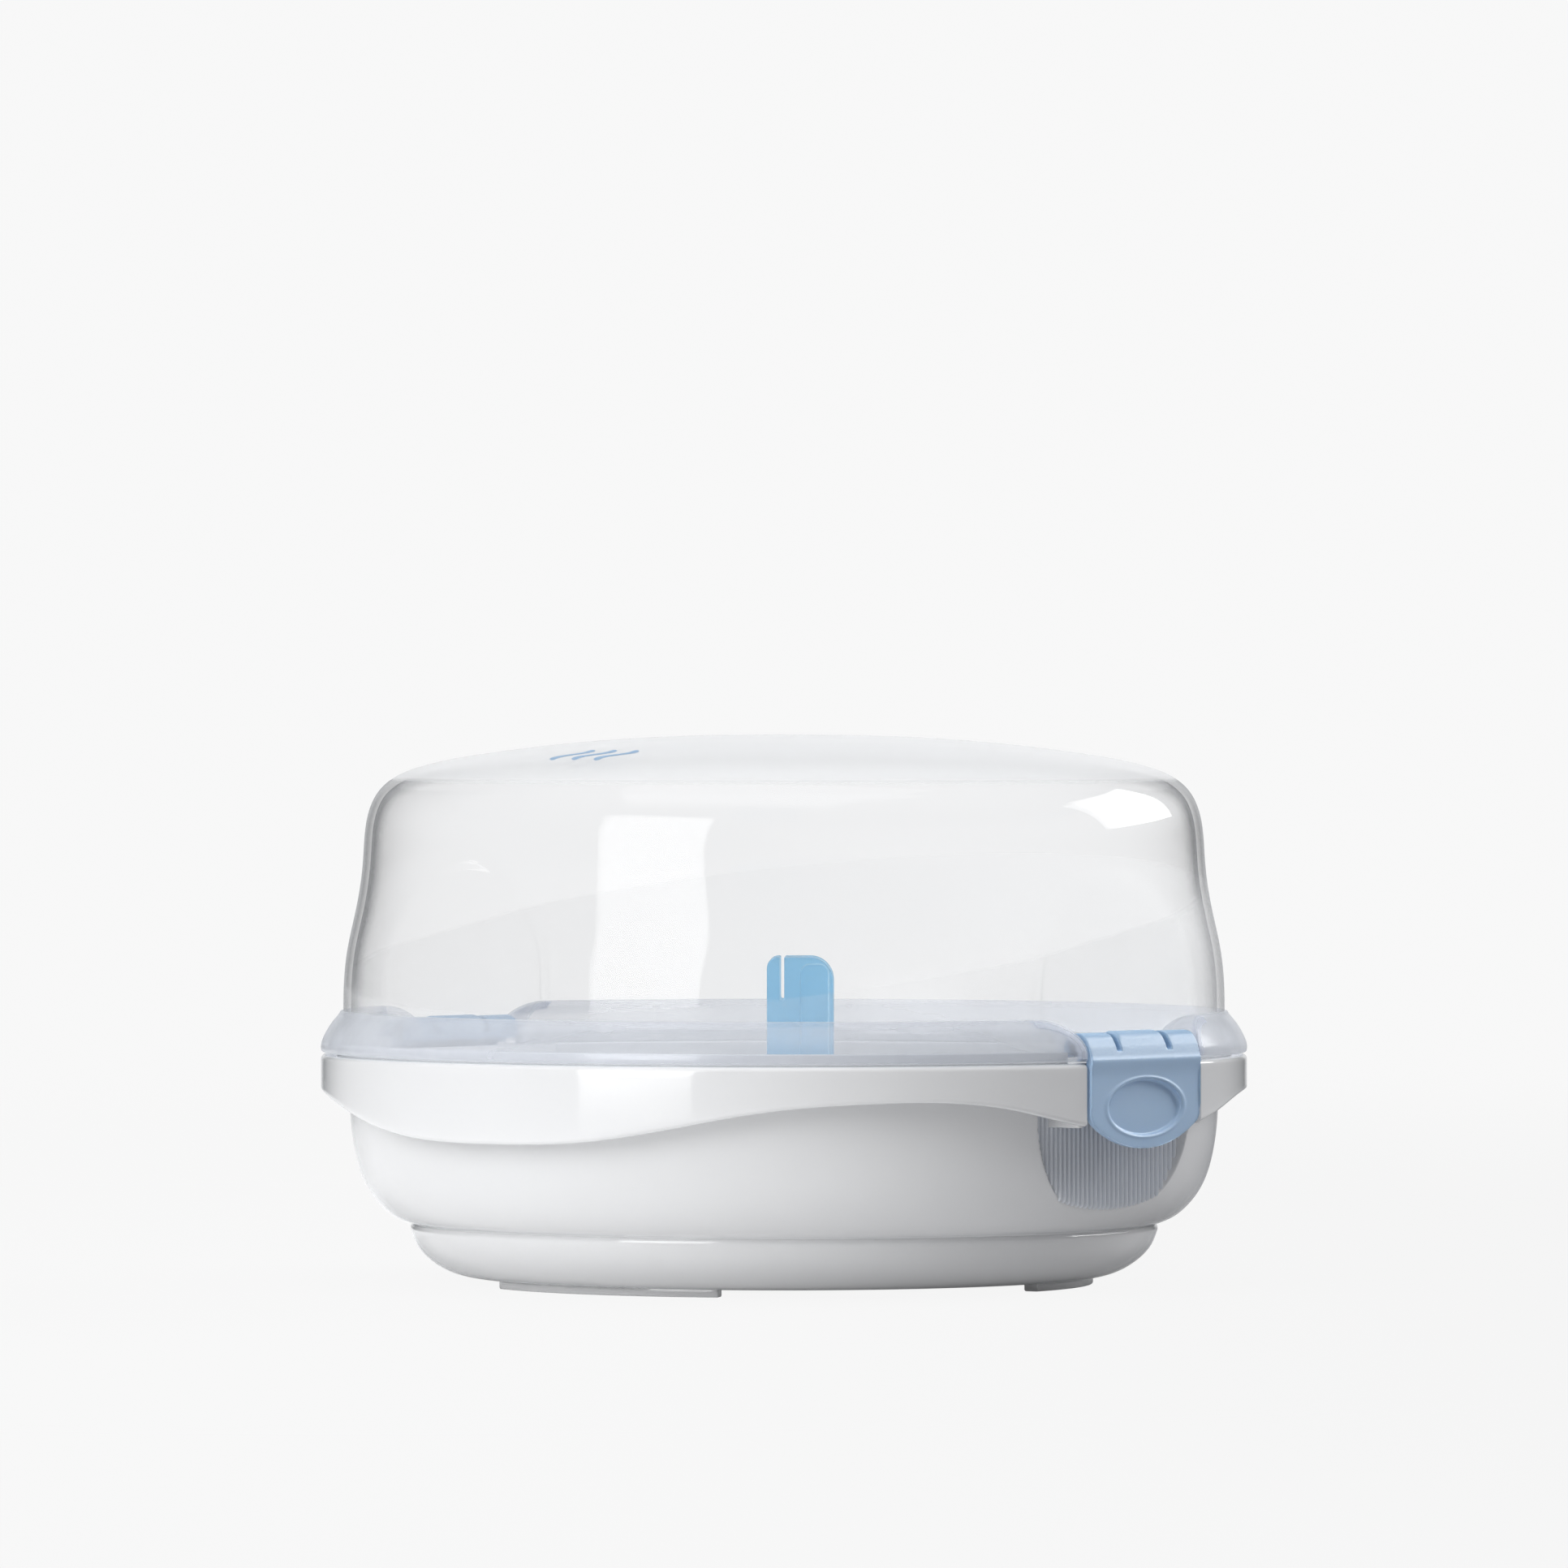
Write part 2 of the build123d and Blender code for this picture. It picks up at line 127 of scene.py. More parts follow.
def make(name, verts, faces, sharp=40.0):
    mesh = bpy.data.meshes.new(name)
    mesh.from_pydata((np.asarray(verts) * MM).tolist(), [], [list(map(int, f)) for f in faces])
    bm = bmesh.new()
    bm.from_mesh(mesh)
    bmesh.ops.remove_doubles(bm, verts=bm.verts, dist=1e-7)
    bmesh.ops.dissolve_degenerate(bm, edges=bm.edges, dist=1e-8)
    bmesh.ops.recalc_face_normals(bm, faces=bm.faces)
    for f in bm.faces:
        f.smooth = True
    bm.to_mesh(mesh)
    bm.free()
    ob = bpy.data.objects.new(name, mesh)
    bpy.context.scene.collection.objects.link(ob)
    mesh.set_sharp_from_angle(angle=math.radians(sharp))
    return ob


def grid(points, wrap_u=False, wrap_v=False, caps=False):
    """Vertices and faces of a (u, v, 3) grid of points, with its two u ends closed if asked."""
    nu, nv = points.shape[:2]
    index = np.arange(nu * nv).reshape(nu, nv)
    iu = index if not wrap_u else np.vstack([index, index[:1]])
    iv = iu if not wrap_v else np.hstack([iu, iu[:, :1]])
    corners = np.stack([iv[:-1, :-1], iv[1:, :-1], iv[1:, 1:], iv[:-1, 1:]], axis=-1)
    faces = corners.reshape(-1, 4).tolist()
    if caps:
        faces += [index[0].tolist(), index[-1][::-1].tolist()]
    return points.reshape(-1, 3), faces


def turned(profile, angles):
    """(angle, profile, 3) points of a profile of (radius, z) swept to each angle, counted from +X."""
    a = np.asarray(angles)[:, None]
    return np.stack([
        profile[None, :, 0] * np.cos(a), profile[None, :, 0] * np.sin(a),
        np.broadcast_to(profile[None, :, 1], (len(angles), len(profile))),
    ], axis=-1)


def bake(ob):
    """Applies the modifiers."""
    graph = bpy.context.evaluated_depsgraph_get()
    mesh = bpy.data.meshes.new_from_object(ob.evaluated_get(graph))
    ob.modifiers.clear()
    ob.data = mesh
    return ob


def smooth_faces(mesh):
    for f in mesh.polygons:
        f.use_smooth = True


def bevel(ob, width, segments=3, angle=40.0):
    m = ob.modifiers.new("bevel", "BEVEL")
    m.width, m.segments, m.limit_method, m.angle_limit = width * MM, segments, "ANGLE", math.radians(angle)
    m.use_clamp_overlap = True
    bake(ob)
    smooth_faces(ob.data)
    ob.data.set_sharp_from_angle(angle=math.radians(40))
    return ob


def moulded(name, node, voxel, rounds, keep, shape=None):
    """A copy of a CAD node with the soft edges of a moulding. shape moves (n, 3) points in mm."""
    source = frame["nodes"][node]
    ob = bpy.data.objects.new(name, source.data.copy())
    bpy.context.scene.collection.objects.link(ob)
    ob.data.materials.clear()
    weld = ob.modifiers.new("weld", "WELD")
    weld.merge_threshold = 1e-6
    m = ob.modifiers.new("remesh", "REMESH")
    m.mode, m.voxel_size, m.use_smooth_shade = "VOXEL", voxel * MM, True
    bake(ob)
    relax = ob.modifiers.new("smooth", "SMOOTH")
    relax.factor, relax.iterations = 0.5, rounds
    bake(ob)
    if shape:
        at = np.empty(len(ob.data.vertices) * 3, np.float32)
        face = at.copy()
        ob.data.vertices.foreach_get("co", at)
        ob.data.vertices.foreach_get("normal", face)
        moved = shape(at.reshape(-1, 3).astype(float) / MM, face.reshape(-1, 3).astype(float)) * MM
        ob.data.vertices.foreach_set("co", moved.astype(np.float32).ravel())
        ob.data.update()
    thin = ob.modifiers.new("thin", "DECIMATE")
    thin.ratio = keep
    bake(ob)
    smooth_faces(ob.data)
    return ob


def join(name, parts):
    """One object from the parts, which are used up."""
    bm = bmesh.new()
    for p in parts:
        bm.from_mesh(p.data)
    mesh = bpy.data.meshes.new(name)
    bm.to_mesh(mesh)
    bm.free()
    for p in parts:
        bpy.data.objects.remove(p)
    ob = bpy.data.objects.new(name, mesh)
    bpy.context.scene.collection.objects.link(ob)
    mesh.set_sharp_from_angle(angle=math.radians(40))
    return ob


# Columns round the axis, close together where the side flats are.
near = np.radians(np.arange(-19.8, 19.81, 0.27))
wide = np.radians(np.linspace(20.4, 159.6, 104))
columns = np.concatenate([near, wide, near + math.pi, wide + math.pi])


def flatten(points, flat, low, high, radius, soft, slope):
    """Presses an oval flat into the +X and -X sides, at the X given by flat."""
    x, y, z = points[..., 0], points[..., 1], points[..., 2]
    d = np.hypot(y, z - np.clip(z, low, high)) - radius
    limit = flat + slope * 0.5 * (d + np.sqrt(d * d + soft * soft))
    e = np.abs(x) - limit
    pressed = 0.5 * (np.abs(x) + limit - np.sqrt(e * e + soft * soft * 0.6))
    out = points.copy()
    near_side = np.abs(y) < radius + 30
    out[..., 0] = np.where(near_side, np.sign(x) * np.minimum(pressed, np.abs(x)), x)
    return out


# ---- materials ----------------------------------------------------------------------------------
class Look:
    """A node material with short calls for the nodes it needs."""

    def __init__(self, name):
        self.mat = bpy.data.materials.new(name)
        self.mat.use_nodes = True
        self.nodes, self.links = self.mat.node_tree.nodes, self.mat.node_tree.links
        self.nodes.clear()
        self.out = self.nodes.new("ShaderNodeOutputMaterial")
        self.coord = self.nodes.new("ShaderNodeTexCoord").outputs["Object"]

    def node(self, kind, **values):
        n = self.nodes.new(kind)
        for k, v in values.items():
            setattr(n, k, v)
        return n

    def put(self, socket, value):
        if isinstance(value, bpy.types.NodeSocket):
            self.links.new(value, socket)
        else:
            socket.default_value = value

    def along(self, axis):
        """One coordinate of the shaded point."""
        xyz = self.node("ShaderNodeSeparateXYZ")
        self.put(xyz.inputs[0], self.coord)
        return xyz.outputs[axis]

    def facing(self):
        """0 where the surface faces the viewer and 1 where it is seen edge on."""
        weight = self.node("ShaderNodeLayerWeight")
        weight.inputs["Blend"].default_value = 0.5
        return weight.outputs["Facing"]

    def noise(self, scale, detail=3.0):
        n = self.node("ShaderNodeTexNoise")
        self.put(n.inputs["Vector"], self.coord)
        n.inputs["Scale"].default_value, n.inputs["Detail"].default_value = scale, detail
        return n.outputs["Fac"]

    def span(self, value, a, b, c, d, smooth=True):
        m = self.node("ShaderNodeMapRange", interpolation_type="SMOOTHSTEP" if smooth else "LINEAR")
        self.put(m.inputs["Value"], value)
        for k, v in zip(("From Min", "From Max", "To Min", "To Max"), (a, b, c, d)):
            self.put(m.inputs[k], v)
        return m.outputs[0]

    def math(self, kind, a, b=0.0, c=0.0):
        m = self.node("ShaderNodeMath", operation=kind)
        for socket, value in zip(m.inputs, (a, b, c)):
            self.put(socket, value)
        return m.outputs[0]

    def blend(self, factor, a, b):
        m = self.node("ShaderNodeMix", data_type="RGBA")
        self.put(m.inputs[0], factor)
        for socket, value in zip((m.inputs[6], m.inputs[7]), (a, b)):
            self.put(socket, value)
        return m.outputs[2]

    def bump(self, height, strength, distance):
        b = self.node("ShaderNodeBump")
        self.put(b.inputs["Height"], height)
        b.inputs["Strength"].default_value, b.inputs["Distance"].default_value = strength, distance
        return b.outputs[0]

    def plastic(self, **values):
        p = self.node("ShaderNodeBsdfPrincipled")
        for k, v in values.items():
            self.put(p.inputs[k.replace("_", " ")], v)
        return p.outputs[0]

    def mix(self, factor, a, b):
        m = self.node("ShaderNodeMixShader")
        self.put(m.inputs[0], factor)
        self.put(m.inputs[1], a)
        self.put(m.inputs[2], b)
        return m.outputs[0]

    def done(self, shader):
        self.put(self.out.inputs["Surface"], shader)
        return self.mat


def white_plastic(name, colour, rough, grain):
    """White moulding, a little uneven in tone, with a painted dark reflection that darkens it where it turns
    away.
    """
    k = Look(name)
    tone = k.blend(k.noise(9.0), [c * 0.985 for c in colour] + [1], [c * 1.01 for c in colour] + [1])
    # painted dark reflection: the colour is drawn towards dark grey where the surface is seen edge on
    painted_dark_reflection = k.math("POWER", k.span(k.facing(), 0.66, 1.0, 0.0, 1.0, smooth=False), 1.6)
    tone = k.blend(k.math("MULTIPLY", painted_dark_reflection, 0.8), tone, (0.30, 0.33, 0.36, 1))
    return k.done(k.plastic(
        Base_Color=tone, Roughness=k.span(k.noise(60.0, 5.0), 0.3, 0.7, rough * 0.85, rough * 1.2), IOR=1.5,
        Subsurface_Weight=0.08, Subsurface_Radius=(0.004, 0.004, 0.004),
        Normal=k.bump(k.noise(grain, 2.0), 0.12, 0.00004)))


def lid_plastic(name, veil_plain, veil_frost, painted_edge_shade, veil_tone, clear_tone):
    """Clear above a slanted line, lightly frosted below it and milky over the crown, with painted shade on
    what shows through near its edges.
    """
    k = Look(name)
    height = k.along("Z")
    line = k.math("MULTIPLY_ADD", k.along("Y"), 0.172, 0.107)
    frost = k.span(k.math("SUBTRACT", height, line), -0.0003, 0.0003, 1.0, 0.0)
    crown = k.span(height, 0.1515, 0.1535, 0.0, 1.0)
    side = k.math("MULTIPLY_ADD", crown, -0.55, 1.0)
    mist = k.noise(700.0, 4.0)
    facing = k.facing()
    # painted shade: what shows through is darkened where the shell is seen edge on, less over the crown
    edge = k.math("MULTIPLY", k.span(facing, 0.74, 1.0, 0.0, 1.0, smooth=False), side)
    air = k.node("ShaderNodeBsdfTransparent")
    k.put(air.inputs["Color"], k.blend(k.math("POWER", edge, 1.6), clear_tone, painted_edge_shade))
    shine = k.node("ShaderNodeBsdfGlossy")
    shine.inputs["Color"].default_value = (1, 1, 1, 1)
    k.put(shine.inputs["Roughness"], k.math("MULTIPLY_ADD", frost, k.span(mist, 0.3, 0.7, 0.10, 0.18), 0.045))
    k.put(shine.inputs["Normal"], k.bump(mist, 0.06, 0.00002))
    mirror = k.math("MULTIPLY_ADD", k.math("POWER", facing, 4.5), 0.50, 0.010)
    glass = k.mix(mirror, air.outputs[0], shine.outputs[0])
    veil = k.plastic(Base_Color=veil_tone, Roughness=0.32, IOR=1.46, Normal=k.bump(mist, 0.2, 0.00003))
    through = k.node("ShaderNodeBsdfTranslucent")
    through.inputs["Color"].default_value = veil_tone
    milk = k.mix(0.5, veil, through.outputs[0])
    grain = k.span(k.noise(25.0, 4.0), 0.3, 0.7, 0.85, 1.15)
    slant = k.math("MULTIPLY_ADD", facing, 2.4, 0.85)
    haze = k.math("MULTIPLY", k.math("MULTIPLY", frost, veil_frost), slant)
    amount = k.math("MULTIPLY_ADD", haze, grain, k.math("MULTIPLY_ADD", crown, 0.60, veil_plain))
    return k.done(k.mix(amount, glass, milk))


def tongs_plastic():
    """Clear blue plastic with a cloudy body."""
    k = Look("tongs_blue_plastic")
    tone = k.blend(k.noise(35.0), (0.38, 0.66, 0.88, 1), (0.42, 0.70, 0.91, 1))
    solid = k.plastic(Base_Color=tone, Roughness=k.span(k.noise(90.0), 0.3, 0.7, 0.10, 0.16), IOR=1.5,
                      Normal=k.bump(k.noise(260.0), 0.15, 0.00003))
    clear = k.plastic(Base_Color=(0.70, 0.88, 0.97, 1), Roughness=0.06, IOR=1.40, Transmission_Weight=1.0)
    through = k.node("ShaderNodeBsdfTranslucent")
    through.inputs["Color"].default_value = (0.50, 0.78, 0.95, 1)
    return k.done(k.mix(0.42, clear, k.mix(0.5, solid, through.outputs[0])))


def clip_plastic():
    """Satin blue, with painted shade that darkens it over the bend at the top."""
    k = Look("clip_blue_plastic")
    tone = k.blend(k.noise(45.0), (0.43, 0.60, 0.82, 1), (0.47, 0.64, 0.86, 1))
    grain = k.noise(1500.0, 3.0)
    # painted shade: a darker blue blended in with height over the bend
    tone = k.blend(k.span(k.along("Z"), 0.066, 0.078, 0.0, 0.8), tone, (0.27, 0.42, 0.60, 1))
    return k.done(k.plastic(
        Base_Color=tone, Roughness=k.span(grain, 0.3, 0.7, 0.34, 0.48), IOR=1.5,
        Subsurface_Weight=0.15, Subsurface_Radius=(0.001, 0.0015, 0.002),
        Normal=k.bump(grain, 0.35, 0.00005)))


base_look = white_plastic("base_white_plastic", (0.84, 0.845, 0.855), 0.065, 340.0)
# The grip ribs are the base's own white plastic; their darker, bluer colour here is painted shade.
grip_shaded_look = white_plastic("grip_white_plastic_painted_shade", (0.78, 0.81, 0.86), 0.20, 500.0)
rack_look = white_plastic("rack_white_plastic", (0.83, 0.84, 0.85), 0.32, 600.0)
# Each look's darkest tint is painted shade for where the shell is seen edge on.
lid_look = lid_plastic(
    "lid_clear_plastic", veil_plain=0.008, veil_frost=0.06, painted_edge_shade=(0.36, 0.37, 0.39, 1),
    veil_tone=(0.985, 0.987, 0.99, 1), clear_tone=(0.988, 0.989, 0.991, 1))
collar_look = lid_plastic(
    "lid_frosted_plastic", veil_plain=0.02, veil_frost=0.17, painted_edge_shade=(0.50, 0.52, 0.55, 1),
    veil_tone=(0.83, 0.85, 0.885, 1), clear_tone=(0.940, 0.947, 0.962, 1))
edge_look = lid_plastic(
    "lid_edge_plastic", veil_plain=0.02, veil_frost=0.45, painted_edge_shade=(0.60, 0.62, 0.66, 1),
    veil_tone=(0.80, 0.83, 0.89, 1), clear_tone=(0.95, 0.955, 0.97, 1))
tongs_look, clip_look = tongs_plastic(), clip_plastic()


def finish_piece(ob, body, look, slot_name, *nodes):
    """Gives the piece its look and the body it moves with, and hides the CAD nodes it stands in for;
    slot_name is not used.
    """
    ob.data.materials.clear()
    ob.data.materials.append(look)
    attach(ob, body)
    if nodes:
        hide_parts(*nodes)


# ---- base ---------------------------------------------------------------------------------------
DISH_UNDER = 2.0                        # underside of the foot dish
DISH_TOP = DISH_UNDER + WALL
BOWL_OUT = 131.6                        # outer radius of the bowl under its rim
dish_out = smooth_path([(88, DISH_UNDER), (99.5, 3.4), (107.2, 7.6), (111.4, 12.4), (113.0, 16.6)], 26)
bowl_out = smooth_path([(113.8, 18.7), (117.6, 20.3), (121.6, 23.4), (126.6, 30.2), (129.3, 38.0),
                        (130.8, 47.0), (131.5, 60.0), (BOWL_OUT, RIM_UNDER)], 110)
dish_in = smooth_path([(86, DISH_TOP), (98, 5.8), (105, 9.6), (109, 14.2), (110.8, 18.4)], 18)
bowl_in = smooth_path([(114.4, 21), (119.4, 25.6), (124.2, 32), (126.9, 39), (128.4, 47.6), (129.0, 60),
                       (129.1, SPLIT - 0.8)], 60)
outside = path(
    run((0, DISH_UNDER), (88, DISH_UNDER), 6), dish_out, [(112.9, 17.6), (112.5, 18.1), (112.9, 18.5)],
    bowl_out, [(131.8, RIM_UNDER), (132.8, RIM_UNDER + 0.05), (133.0, RIM_UNDER + 0.4)],
    [(133.0, SPLIT - 0.45)], arc((132.65, SPLIT - 0.4), 0.35, 0, 90, 4))
inside = path(
    arc((129.7, SPLIT - 0.65), 0.6, 90, 180, 5), bowl_in[::-1], [(111.4, 21.0), (110.9, 20.6)], dish_in[::-1],
    run((86, DISH_TOP), (0, DISH_TOP), 5))
round_bowl = turned(outside, columns)
outer = flatten(round_bowl, GRIP, GRIP_LOW, FLAT_HIGH, GRIP_OVAL, 0.5, 1.9)
rim_rows = (outside[:, 1] >= RIM_UNDER - 0.05) & (outside[:, 0] > BOWL_OUT + 0.1)
outer[:, rim_rows] = round_bowl[:, rim_rows]
inner = flatten(turned(inside, columns), GRIP - WALL, GRIP_LOW, FLAT_HIGH, GRIP_OVAL + 1.6, 0.5, 1.9)
bowl = make("bowl", *grid(np.concatenate([outer, inner], axis=1), wrap_u=True), sharp=50)
finish_piece(bowl, "base", base_look, "base_white", "base")

# The rim's turned-out edge and the skirt, whose lower edge is one wave from clip to clip.
wave_x = [0, 38, 64, 86, 108, 122, 130, 134.6, 137.6]
wave_z = [46.0, 47.6, 52.2, 56.6, 58.7, 58.5, 56.2, 53.2, 50.8]
both_x = [-x for x in wave_x[:0:-1]] + wave_x
both_z = wave_z[:0:-1] + wave_z
gap_angle = math.asin(GAP / RIM)
near_gap = np.linspace(gap_angle, gap_angle + 0.22, 44)
between = np.linspace(gap_angle + 0.23, math.pi - gap_angle - 0.23, 150)
skirt_angles = np.concatenate([near_gap, between, math.pi - near_gap[::-1]])
SKIRT_ROOT = 131.0                      # radius at which the rim grows out of the bowl


def skirt_section(angle):
    """The rim and skirt at an angle from +X: a hook that hangs down to the wave."""
    edge_round, corner = WALL / 2, 1.4
    low = float(cubic(both_x, both_z, [RIM * math.cos(angle)])[0]) + edge_round
    back, turn = RIM - WALL, RIM_UNDER - corner
    return path(
        run((SKIRT_ROOT, SPLIT), (RIM - LIP, SPLIT), 4), arc((RIM - LIP, SPLIT - LIP), LIP, 90, 0, 7),
        run((RIM, SPLIT - LIP), (RIM, low), 14), arc((RIM - edge_round, low), edge_round, 0, -180, 11),
        run((back, low), (back, turn), 6), arc((back - corner, turn), corner, 0, 90, 5),
        run((back - corner, RIM_UNDER), (SKIRT_ROOT, RIM_UNDER), 3))


skirts = []
for side in (-1, 1):
    points = np.stack([turned(skirt_section(a), [side * a])[0] for a in skirt_angles])
    skirts.append(bevel(make("half_skirt", *grid(points, wrap_v=True, caps=True)), 0.7))
finish_piece(join("skirt", skirts), "base", base_look, "base_white", "base")

# The bead that centres the lid, and the webs that close the skirt's ends.
BEAD_IN, BEAD_OUT, BEAD_TOP = 133.8, 135.6, base_high.z
bead_section = path([(BEAD_IN, SPLIT - 0.5)], arc((BEAD_IN + 0.5, BEAD_TOP - 0.5), 0.5, 180, 90, 4),
                    arc((BEAD_OUT - 0.5, BEAD_TOP - 0.5), 0.5, 90, 0, 4), [(BEAD_OUT, SPLIT - 0.5)])
bead_start = math.asin((GAP + 3.0) / BEAD_OUT)
beads = []
for side in (-1, 1):
    points = turned(bead_section, side * np.linspace(bead_start, math.pi - bead_start, 150))
    beads.append(bevel(make("bead", *grid(points, wrap_v=True, caps=True)), 0.3, 2))


def block(xs, ys, zs):
    corners = np.array([(x, y, z) for x in xs for y in ys for z in zs], float)
    faces = [(0, 1, 3, 2), (4, 6, 7, 5), (0, 4, 5, 1), (2, 3, 7, 6), (0, 2, 6, 4), (1, 5, 7, 3)]
    return bevel(make("block", corners, faces), 0.5)


WEB_OUT, WEB_LOW = 135.7, 50.7
webs = []
for sx in (-1, 1):
    for sy in (-1, 1):
        xs = sorted((sx * (GRIP - 0.8), sx * WEB_OUT))
        ys = sorted((sy * (GAP + 0.1), sy * (GAP + WALL)))
        webs.append(block(xs, ys, (WEB_LOW, SPLIT - 2.0)))
finish_piece(join("rim_bead_and_webs", beads + webs), "base", base_look, "base_white", "base")

# Upright ribs on the grip flats, whose lower ends run out into the bowl.
ribs = []
RIB_PITCH, RIB_COUNT, RIB_HALF, RIB_RISE = 2.14, 33, 0.60, 1.25
RIB_TOP = 65.5                          # hidden behind the clip
RIB_ROUND = 1.3                         # length of a rib's rounded lower end
rib_across = np.radians(np.linspace(180, 0, 9))
for sx in (-1, 1):
    for y in (np.arange(RIB_COUNT) - (RIB_COUNT - 1) / 2) * RIB_PITCH:
        meets_bowl = np.interp(math.hypot(GRIP + 0.25, y), bowl_out[:, 0], bowl_out[:, 1])
        meets_oval = GRIP_LOW - math.sqrt(max((GRIP_OVAL + 0.4)**2 - y**2, 0))
        foot = max(meets_bowl, meets_oval)
        low_end, rest = foot + np.array([0, 0.15, 0.4, 0.8, RIB_ROUND]), np.linspace(foot + 2.0, RIB_TOP, 18)
        up = np.concatenate([low_end, rest])
        swell = np.sqrt(np.clip(1 - (1 - np.clip((up - foot) / RIB_ROUND, 0, 1))**2, 0, 1))
        half = RIB_HALF * np.maximum(swell, 0.1)
        points = np.empty((len(up), len(rib_across) + 2, 3))
        points[:, 1:-1, 0] = GRIP + RIB_RISE * np.outer(swell, np.sin(rib_across)**0.8)
        points[:, 1:-1, 1] = y + np.outer(half, np.cos(rib_across))
        points[:, [0, -1], 0] = GRIP - 0.6
        points[:, [0, -1], 1] = y + np.outer(half, (-1, 1))
        points[:, :, 2] = up[:, None]
        points[..., 0] *= sx
        ribs.append(make("rib", *grid(points, wrap_v=True, caps=True), sharp=60))
finish_piece(join("grip_ribs", ribs), "base", grip_shaded_look, "base_white", "base")

# Three foot rails.
feet = []
FOOT_OUT, FOOT_IN, FOOT_TOP, FOOT_ROUND, FOOT_SWEEP = 93.5, 88.5, 3.4, 0.6, 27
foot_section = path(
    arc((FOOT_OUT - FOOT_ROUND, FOOT_ROUND), FOOT_ROUND, 0, -90, 4),
    arc((FOOT_IN + FOOT_ROUND, FOOT_ROUND), FOOT_ROUND, -90, -180, 4),
    [(FOOT_IN, FOOT_TOP), (FOOT_OUT, FOOT_TOP)])
for middle in (-90, 30, 150):
    points = turned(foot_section, np.radians(np.linspace(middle - FOOT_SWEEP, middle + FOOT_SWEEP, 40)))
    feet.append(bevel(make("foot", *grid(points, wrap_v=True, caps=True)), 0.4, 2))
finish_piece(join("foot_rails", feet), "base", base_look, "base_white", "base")

# ---- lid ----------------------------------------------------------------------------------------
LID_FOOT = 133.2                        # outer radius of the dome where it stands on the rim
LID_ROUND = 0.8
wall_out = [(LID_FOOT, SPLIT), (LID_FOOT, 78.0), (LID_FOOT, 87.0), (132.1, 100.5), (129.3, 113.8),
            (127.3, 128.0), (126.2, 140.0)]
crown_out = [(125.2, 143.8), (122.9, 148.4), (118.2, 152.8), (109.0, 156.6), (90.0, 160.3), (60.0, 163.8),
             (28.0, 165.6), (0, TOP)]
side_line = smooth_path(wall_out + crown_out, 260)
foot_round = arc((LID_FOOT - LID_ROUND, SPLIT + LID_ROUND), LID_ROUND, -90, 0, 4)


def offset(line, by):
    """The line moved sideways, to its left."""
    t = np.gradient(line, axis=0)
    t /= np.linalg.norm(t, axis=1)[:, None]
    return line + by * np.stack([-t[:, 1], t[:, 0]], axis=1)


inner_line = offset(side_line[::2], SHELL)
inner_line = inner_line[inner_line[:, 0] > 0.4]
above_foot = SPLIT + LID_ROUND + 0.1
lid_outside = path(foot_round, side_line[side_line[:, 1] > above_foot])
lid_inside = path(
    [(0, TOP - SHELL)], inner_line[inner_line[:, 1] > above_foot][::-1],
    [(LID_FOOT - SHELL, SPLIT + 0.4), (LID_FOOT - SHELL + 0.4, SPLIT)])
lid_out = flatten(turned(lid_outside, columns), FLAT, FLAT_LOW, FLAT_HIGH, FLAT_OVAL, 1.4, 1.3)
lid_in = flatten(turned(lid_inside, columns), FLAT - SHELL, FLAT_LOW, FLAT_HIGH, FLAT_OVAL + 1.6, 1.8, 1.3)
dome = make("dome", *grid(np.concatenate([lid_out, lid_in], axis=1), wrap_u=True), sharp=60)
finish_piece(dome, "lid", lid_look, "lid_clear", "lid")

# Three steam strokes printed on the front of the crown.
strokes = []
STROKE_FROM, STROKE_LONG, STROKE_PITCH, STROKE_WAVE, STROKE_HALF = -80.0, 19.0, 8.5, 1.9, 1.5
INK, SUNK = 0.07, -0.2                  # height of the print over the crown, and of its hidden underside
sweep = np.linspace(0, 1, 25)
for column in (-1, 0, 1):
    y = STROKE_FROM - STROKE_LONG * sweep
    x = column * STROKE_PITCH + STROKE_WAVE * np.sin(2 * math.pi * sweep)
    half = STROKE_HALF * np.sqrt(np.clip(1 - (2 * sweep - 1)**6, 0.05, 1))
    rows = []
    for side, rise in ((-1, SUNK), (-1, INK), (1, INK), (1, SUNK)):
        px = x + side * half
        height = np.interp(-np.hypot(px, y), -side_line[:, 0], side_line[:, 1]) + rise
        rows.append(np.stack([px, y, height], axis=1))
    strokes.append(make("stroke", *grid(np.stack(rows, axis=1), wrap_v=True, caps=True)))
finish_piece(join("steam_mark", strokes), "lid", clip_look, "clip_blue")

# The sloped collar, whose ends round down beside each clip.
COLLAR_FOOT, COLLAR_TOP, COLLAR_WALL = SPLIT + 0.6, 82.6, 2.2
COLLAR_ROOT = 132.4                     # radius at which the collar grows out of the dome
END_LONG, END_LOW = 13.5, COLLAR_FOOT + 3.2     # the rounded ends: length, and height at the very tip
EDGE = 0.7                              # rounding of the collar's edges
collar_z = [COLLAR_FOOT, 72.6, 75.0, 77.4, 79.8, 82.0, 83.6]
collar_r = [RIM, RIM - 0.05, RIM - 0.9, RIM - 2.2, RIM - 3.9, RIM - 5.7, RIM - 6.6]


